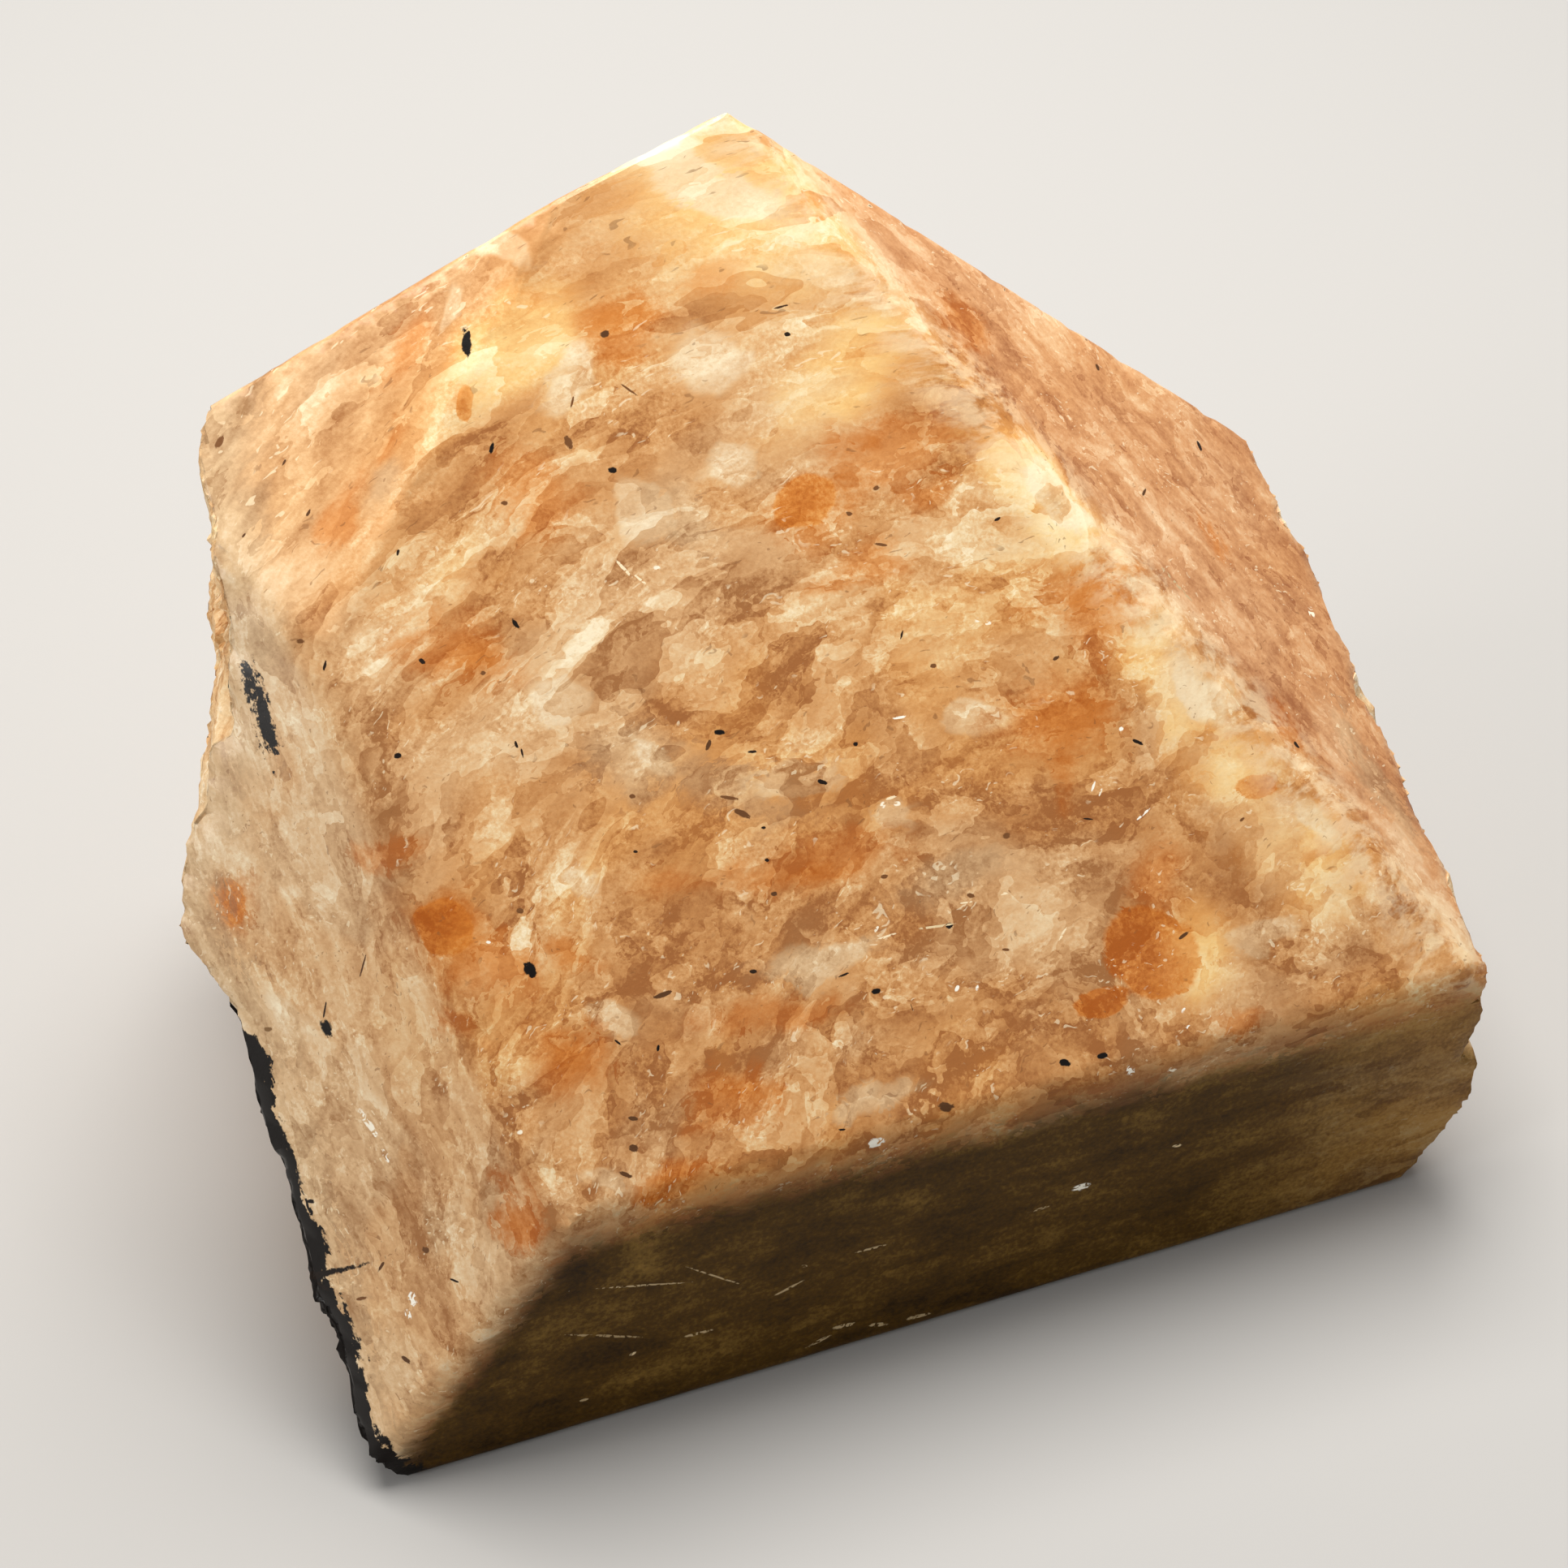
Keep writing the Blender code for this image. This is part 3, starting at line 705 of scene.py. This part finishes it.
stoneLooks = {
    "peach": [(0.0, paint(160, 101, 54)), (0.22, paint(193, 135, 80)), (0.42, paint(213, 159, 103)),
              (0.6, paint(225, 182, 130)), (0.78, paint(236, 208, 162)), (1.0, paint(248, 231, 196))],
    "golden": [(0.0, paint(196, 124, 56)), (0.35, paint(226, 160, 86)), (0.65, paint(244, 200, 126)),
               (1.0, paint(255, 238, 186))],
    "amber": [(0.0, paint(176, 96, 36)), (0.5, paint(216, 140, 70)), (1.0, paint(240, 190, 126))],
    "orange": [(0.0, paint(174, 88, 20)), (0.5, paint(206, 122, 44)), (1.0, paint(232, 162, 84))],
    "grey": [(0.0, paint(164, 124, 84)), (0.5, paint(216, 184, 142)), (1.0, paint(246, 228, 198))],
    "milky": [(0.0, paint(164, 118, 74)), (0.5, paint(220, 184, 140)), (1.0, paint(248, 232, 200))],
    "right": [(0.0, paint(158, 98, 62)), (0.4, paint(206, 148, 102)), (1.0, paint(246, 212, 170))],
    # The front wall's olive brown, darkened with painted shade
    "oliveAndShadedWall": [(0.0, paint(44, 26, 2)), (0.5, paint(86, 59, 12)), (1.0, paint(146, 112, 50))],
    "rock": [(0.0, paint(166, 112, 66)), (0.35, paint(212, 168, 118)), (0.7, paint(234, 206, 162)),
             (1.0, paint(248, 238, 214))],
    # The two palest spot tones are painted glints
    "spots": [(0.0, paint(18, 13, 10)), (0.3, paint(44, 30, 20)), (0.5, paint(118, 76, 42)),
              (0.75, paint(150, 122, 80)), (0.88, paint(250, 226, 180)), (1.0, paint(255, 250, 235))],
    # edge is the pale cream of the painted highlight on the ridge and of the painted glints; mica is black
    # mica, and painted shade in the left seam
    "mica": paint(20, 15, 12), "fleck": paint(130, 84, 46), "edge": paint(252, 234, 196),
    "stain": paint(186, 158, 84),
    "shares": {"golden": 0.8, "right": 0.7, "amber": 0.72, "rust": 0.62, "orange": 0.85, "grey": 0.55,
               "rim": 0.85, "ridgeHighlight": 0.4, "fleck": 0.5, "rock": 0.35, "bareRock": 0.45, "stain": 0.3},
    "milkyShares": {"pale": 0.6, "leftLower": 0.5, "leftUpper": 0.45}, "milkyHue": 0.4,
    "mostMilky": 0.85, "goldenHue": 0.4,
    "quietDetail": 0.4, "busyDetail": 0.9, "paintedLightClears": 0.5,  # fine detail comes in clusters, and the painted light near the point clears some of it
    "sideLevel": 0.5, "upperStreaks": 0.5, "sided": {"leftUpper": 0.9, "leftLower": 0.35},
    # rightDarker is painted shade on the right face
    "lowest": 0.05, "span": 0.93, "rightDarker": 0.04, "rustLighter": 0.08, "greyLighter": 0.02,
    "rimWidth": (0.8, 3.4), "rimCrooked": 3.0, "rimGrained": 1.5, "rockLevel": 0.5,
    "spotCrooked": 1.6, "spotEdge": (0.75, 1.05), "brokenTones": (0.7, 0.72),
    # The tints of the right and both left faces are painted light and shade, one level for each face; the
    # tint of the yellow light is painted light too; pale and brown are the stone's own
    "level": 0.39, "tintsAndPaintedLight": {"pale": 0.2, "glow": 0.28, "brown": -0.25, "right": -0.04,
                             "leftUpper": -0.18, "leftLower": 0.1},
    "footShade": 0.2, "footFrom": 14.0, "footTo": 46.0,     # painted shade: the stone darkens down to its foot
    # The front wall: its olive brown is partly painted shade, and its soft top and tan right end are painted
    # light through the stone
    "wallLevel": 0.42, "wallLightThrough": 0.42, "lightThroughFrom": 17.0, "lightThroughTo": 32.0, "wallClears": 0.25,
    "wallCrooked": 1.6, "lowerLeftTop": 1.4,  # its soft top is narrower under the lower left face
    "polishedRoughness": 0.36, "brokenRoughness": 0.72, "grainRoughness": 0.6,
    "bump": 0.0001, "bumpStrength": 0.6, "polishedBump": 0.3,
    "ior": 1.4, "specular": 0.12, "coat": 0.4, "coatRoughness": 0.22,
}


def shaken(place, name):
    size, reach, detail, roughness = layerBends[name]
    push = place.squeezed(*size).noise(detail, roughness, "Color").vector("SUBTRACT", (0.5, 0.5, 0.5))
    return push.vector("MULTIPLY", reach)


def layPlaces(start):
    place = start.node("ShaderNodeTexCoord", {}, {}, "Object").vector("MULTIPLY", (1.0 / mm,) * 3)
    across = place.along(layerAcross)
    turn = start.node("ShaderNodeMapRange", {}, {"Value": across, **layerBends["turn"]})
    layered = start.node("ShaderNodeCombineXYZ", {}, {0: across, 1: place.along(layerUp),
                                                      2: place.along(normals["main"])})
    layered = start.node("ShaderNodeVectorRotate", {"rotation_type": "Z_AXIS"}, {0: layered, "Angle": turn})
    bent = layered.vector("ADD", shaken(layered, "bend"))
    return {"place": place, "bent": bent, "rippled": bent.vector("ADD", shaken(layered, "ripple"))}


def makePatterns(places):
    made = {name: places[place].squeezed(*size).noise(detail, roughness)
            for name, (place, size, detail, roughness) in patterns.items()}
    for name, count in patternSteps.items():
        made[name] = (count * made[name]).fraction()
    for name, (size, channels) in patternCells.items():
        made[name] = places["rippled"].squeezed(*size).cells().along(channels)
    return made


# What the stone's colour is worked out from: its patterns, the depth below each polished face, and
# masks from 0 to 1 for the broken rock, the side faces and the patches
class Surface:
    def __init__(self, tree):
        self.start = Wire(tree)
        places = layPlaces(self.start)
        self.place = places["place"]
        self.grain = makePatterns(places)
        self.rough = self.mixed("edges")
        self.broken = self.start.attribute("broken").rise(0.3, 0.7)
        self.below = {name: polishedFaces[name][2] + normal.dot(shift) - self.place.along(normal)
                      for name, normal in normals.items() if name != "base"}
        self.masks = {name: self.patch(name) for name in ("pale", "brown", "glow")}
        for name, (low, high, mainLow, mainHigh) in sideEdges.items():
            self.masks[name] = self.below[name].fall(low, high) * self.below["main"].rise(mainLow, mainHigh)

    def mixed(self, name):
        return sum(share * (self.grain[pattern] - 0.5) for pattern, share in patternMixes[name].items())

    def where(self, name):
        pattern, none, full = patternEdges[name]
        if none < full:
            return self.grain[pattern].rise(none, full)
        return self.grain[pattern].fall(full, none)

    def patch(self, name):
        low, high, wander = patchEdges[name]
        return (self.start.attribute(name) + wander * self.rough).fall(low, high)


def feldsparLevel(surface):
    looks, masks = stoneLooks, surface.masks
    busy = looks["quietDetail"] + looks["busyDetail"] * surface.where("busy")
    # The painted light near the point and along the ridge clears part of the fine detail
    detail = surface.mixed("detail") * busy * (1.0 - looks["paintedLightClears"] * masks["glow"])
    level = looks["level"] + surface.mixed("main") + detail
    sideLevel = looks["sideLevel"] + surface.mixed("sides")
    sideLevel = sideLevel + looks["upperStreaks"] * masks["leftUpper"] * (surface.grain["streaks"] - 0.5)
    sided = masks["right"]
    for name, share in looks["sided"].items():
        sided = sided.most(share * masks[name])
    level = level + sided * (sideLevel - level)
    # Painted light and shade: each side face gets its own level
    level = level + sum(share * masks[name] for name, share in looks["tintsAndPaintedLight"].items())
    # Painted shade, darker down towards the foot
    height = surface.place.along((0.0, 0.0, 1.0))
    level = level - looks["footShade"] * height.fall(looks["footFrom"], looks["footTo"])
    return looks["lowest"] + looks["span"] * level


def paintFeldspar(surface, level):
    looks, masks, shares = stoneLooks, surface.masks, stoneLooks["shares"]
    # The golden colour covers the painted light patches as well as a golden hue that varies at random
    golden = (masks["glow"] + looks["goldenHue"] * surface.where("golden")).least(1.0)
    milky = sum(share * masks[name] for name, share in looks["milkyShares"].items())
    milky = (milky + looks["milkyHue"] * surface.where("milky")).least(looks["mostMilky"])
    colour = level.coloured(looks["peach"])
    colour = colour.covered(shares["golden"] * golden, level.coloured(looks["golden"]))
    colour = colour.covered(milky, level.coloured(looks["milky"]))
    # Painted shade: the right face reads its colours a little darker
    right = (level - looks["rightDarker"]).coloured(looks["right"])
    return colour.covered(shares["right"] * masks["right"], right)


def paintOrange(surface, level, colour):
    looks, shares, crystals = stoneLooks, stoneLooks["shares"], orangeCrystals
    colour = colour.covered(shares["amber"] * surface.patch("amber"), level.coloured(looks["amber"]))
    rust = (level + looks["rustLighter"]).coloured(looks["orange"])
    colour = colour.covered(shares["rust"] * surface.patch("rust"), rust)
    depth = surface.start.attribute("orange")
    crystalLevel = crystals["level"] + crystals["contrast"] * (level - 0.5) + crystals["rimLight"] * depth
    crystalLevel = crystalLevel + crystals["crumbs"] * (surface.grain["crumbs"] - 0.5)
    edge = depth + crystals["crooked"] * surface.rough
    edge = edge + crystals["grained"] * (surface.grain["grains"] - 0.5)
    return colour.covered(shares["orange"] * edge.fall(*crystals["edge"]),
                          crystalLevel.coloured(looks["orange"]))


# The weathered band down the left rim, and a painted highlight along the ridge on the right
def paintRims(surface, level, colour):
    looks, shares = stoneLooks, stoneLooks["shares"]
    band = surface.start.attribute("rim") + looks["rimCrooked"] * surface.rough
    band = (band + looks["rimGrained"] * (surface.grain["grains"] - 0.5)).fall(*looks["rimWidth"])
    greyed = (shares["grey"] * surface.patch("grey")).most(shares["rim"] * band)
    colour = colour.covered(greyed, (level + looks["greyLighter"]).coloured(looks["grey"]))
    # Painted highlight: pale cream along the ridge between the main and right faces, broken up by streaks
    ridge = surface.below["right"].most(surface.below["main"]).fall(*depthEdges["ridgeHighlight"])
    return colour.covered(shares["ridgeHighlight"] * ridge * surface.where("ridgeHighlight"), looks["edge"])


# The light flecks are painted glints; the dark flecks are the stone's own
def paintFlecks(surface, colour):
    share = stoneLooks["shares"]["fleck"]
    light = share * surface.where("paintedGlintFlecks") * surface.where("paintedGlintPlaces")
    dark = share * surface.where("darkFlecks") * surface.where("darkPlaces")
    return colour.covered(light, stoneLooks["edge"]).covered(dark, stoneLooks["fleck"])


def paintBroken(surface, colour):
    looks, shares, broken = stoneLooks, stoneLooks["shares"], surface.broken
    rockLevel = looks["rockLevel"] + surface.mixed("rock")
    share = broken * (shares["rock"] + shares["bareRock"] * surface.where("bare"))
    colour = colour.covered(share, rockLevel.coloured(looks["rock"]))
    colour = colour.covered(shares["stain"] * broken * surface.where("stained"), looks["stain"])
    behind = broken
    for name in ("backLeft", "backRight"):
        behind = behind.most(surface.below[name].fall(*depthEdges["behind"]))
    specks = surface.where("specks") * surface.where("speckPlaces")
    return colour.covered(behind * specks, looks["mica"])


# The front wall is dark: partly its own olive brown and partly painted shade. Its soft upper edge, and the
# lighter tan it fades to towards its right end, are painted light shining through the stone
def paintWall(surface, colour):
    looks, below = stoneLooks, surface.below
    depth = below["main"].least(below["leftLower"] * looks["lowerLeftTop"]).least(below["right"])
    depth = depth + looks["wallCrooked"] * surface.rough
    oliveAndShadedWall = below["front"].fall(*depthEdges["oliveAndShadedWall"]) * depth.rise(*depthEdges["wallTop"])
    # Painted light: the wall turns a lighter tan towards its right end
    lightThrough = surface.place.along((1.0, 0.0, 0.0)).rise(looks["lightThroughFrom"], looks["lightThroughTo"])
    level = looks["wallLevel"] + surface.mixed("oliveAndShadedWall") + looks["wallLightThrough"] * lightThrough
    return colour.covered(oliveAndShadedWall * (1.0 - looks["wallClears"] * lightThrough), level.coloured(looks["oliveAndShadedWall"]))


# The black seam down the left edge, partly black mica and partly painted shade where the stone meets the
# floor, which spreads in patches over the broken side, and the black mica streak
def paintMica(surface, colour):
    mica, grain, rough = blackMicaAndShade, surface.grain, surface.rough
    spread = (mica["spread"] * grain["wideSteps"] - mica["spreadLess"]).most(mica["leastSpread"])
    width = mica["width"] + mica["widthVaries"] * grain["narrowSteps"] + surface.broken * spread
    # Painted shade and black mica: the seam along the lower left rim
    seam = surface.start.attribute("seam") + mica["seamCrooked"] * rough
    seam = (seam + mica["seamClusters"] * (grain["clusters"] - 0.5)) / width
    streak = surface.start.attribute("mica") + mica["streakCrooked"] * rough
    streak = streak + mica["streakCrumbs"] * (grain["crumbs"] - 0.5)
    seen = streak.fall(*mica["streakEdge"]).most(seam.fall(*mica["seamEdge"]))
    return colour.covered(seen, stoneLooks["mica"])


# Scratches and painted glints are broken up into flakes. The marks of each set have their own coordinates.
def paintSpots(surface, colour, sets):
    looks, grain = stoneLooks, surface.grain
    shake = surface.start.node("ShaderNodeCombineXYZ", {}, {
        0: looks["spotCrooked"] * (grain["crumbs"] - 0.5),
        1: looks["spotCrooked"] * (grain["streaks"] - 0.5)})
    flakes = surface.where("flakes")
    for number in range(sets):
        name = "spots" + str(number)
        kind = surface.start.attribute(name, "Alpha")
        seen = surface.start.attribute(name, "Color").vector("ADD", shake).length().fall(*looks["spotEdge"])
        seen = seen * (1.0 - kind.rise(*looks["brokenTones"]) * (1.0 - flakes))
        colour = colour.covered(seen, kind.coloured(looks["spots"]))
    return colour


def finishSurface(surface, shader):
    looks, grain, broken = stoneLooks, surface.grain, surface.broken
    front = surface.below["front"].fall(*depthEdges["uncoated"])
    dull = looks["brokenRoughness"] - looks["polishedRoughness"]
    roughness = looks["polishedRoughness"] + surface.mixed("roughness")
    roughness = roughness + broken * (dull + looks["grainRoughness"] * (grain["small"] - 0.5))
    coat = looks["coat"] * (1.0 - broken.most(front))
    height = (looks["polishedBump"] + (1.0 - looks["polishedBump"]) * broken) * grain["crumbs"]
    bump = surface.start.node("ShaderNodeBump", {}, {
        "Strength": looks["bumpStrength"], "Distance": looks["bump"], "Height": height})
    roughness.into(shader.inputs["Roughness"])
    coat.into(shader.inputs["Coat Weight"])
    bump.into(shader.inputs["Normal"])
    shader.inputs["IOR"].default_value = looks["ior"]
    shader.inputs["Specular IOR Level"].default_value = looks["specular"]
    shader.inputs["Coat Roughness"].default_value = looks["coatRoughness"]


def stoneMaterial(sets):
    material = bpy.data.materials.new("sunstone feldspar")
    material.use_nodes = True
    shader = material.node_tree.nodes["Principled BSDF"]
    surface = Surface(material.node_tree)
    level = feldsparLevel(surface)
    colour = paintFeldspar(surface, level)
    colour = paintOrange(surface, level, colour)
    colour = paintRims(surface, level, colour)
    colour = paintFlecks(surface, colour)
    colour = paintBroken(surface, colour)
    colour = paintWall(surface, colour)
    colour = paintMica(surface, colour)
    colour = paintSpots(surface, colour, sets)
    colour.into(shader.inputs["Base Color"])
    finishSurface(surface, shader)
    print("stone material:", len(material.node_tree.nodes), "nodes")
    return material


studio = {
    "floorSize": 8.0, "floorColour": paint(184, 182, 179), "floorRoughness": 0.9,
    "skyColour": (1.0, 1.0, 1.0, 1.0), "skyStrength": 0.3,
    "lights": [  # size, power and place of each softbox
        (0.22, 1.45, (0.02, 0.09, 0.3)), (0.45, 4.9, (-1.155, -0.066, 0.33)),
    ],
    "lightColour": (1.0, 0.98, 0.95),
}


def plainMaterial(name, colour, roughness):
    material = bpy.data.materials.new(name)
    material.use_nodes = True
    shader = material.node_tree.nodes["Principled BSDF"]
    shader.inputs["Base Color"].default_value = colour
    shader.inputs["Roughness"].default_value = roughness
    return material


def makeFloor():
    block = bmesh.new()
    bmesh.ops.create_grid(block, x_segments=1, y_segments=1, size=studio["floorSize"] / 2.0)
    mesh = bpy.data.meshes.new("floor")
    block.to_mesh(mesh)
    block.free()
    mesh.materials.append(plainMaterial("floor", studio["floorColour"], studio["floorRoughness"]))
    floor = bpy.data.objects.new("floor", mesh)
    bpy.context.scene.collection.objects.link(floor)


def makeLights():
    for size, power, place in studio["lights"]:
        lamp = bpy.data.lights.new("softbox", "AREA")
        lamp.size = size
        lamp.energy = power
        lamp.color = studio["lightColour"]
        softbox = bpy.data.objects.new("softbox", lamp)
        softbox.location = place
        softbox.rotation_euler = Vector(place).to_track_quat("Z", "Y").to_euler()
        bpy.context.scene.collection.objects.link(softbox)
    world = bpy.data.worlds.new("studio")
    world.use_nodes = True
    sky = world.node_tree.nodes["Background"]
    sky.inputs["Color"].default_value = studio["skyColour"]
    sky.inputs["Strength"].default_value = studio["skyStrength"]
    bpy.context.scene.world = world


def makeCamera():
    lens = bpy.data.cameras.new("camera")
    lens.lens = photo["lens"]
    lens.sensor_width = photo["sensor"]
    lens.clip_start = photo["nearest"]
    lens.clip_end = photo["farthest"]
    camera = bpy.data.objects.new("camera", lens)
    camera.location = viewPlace * mm
    camera.rotation_euler = (-viewAhead).to_track_quat("Z", "Y").to_euler()
    bpy.context.scene.collection.objects.link(camera)
    bpy.context.scene.camera = camera


stone, spotSetCount = makeStone()
stone.data.materials.append(stoneMaterial(spotSetCount))
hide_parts("sunstone")
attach(stone, "root")
makeFloor()
makeLights()
makeCamera()
bpy.context.scene.view_settings.view_transform = "Standard"
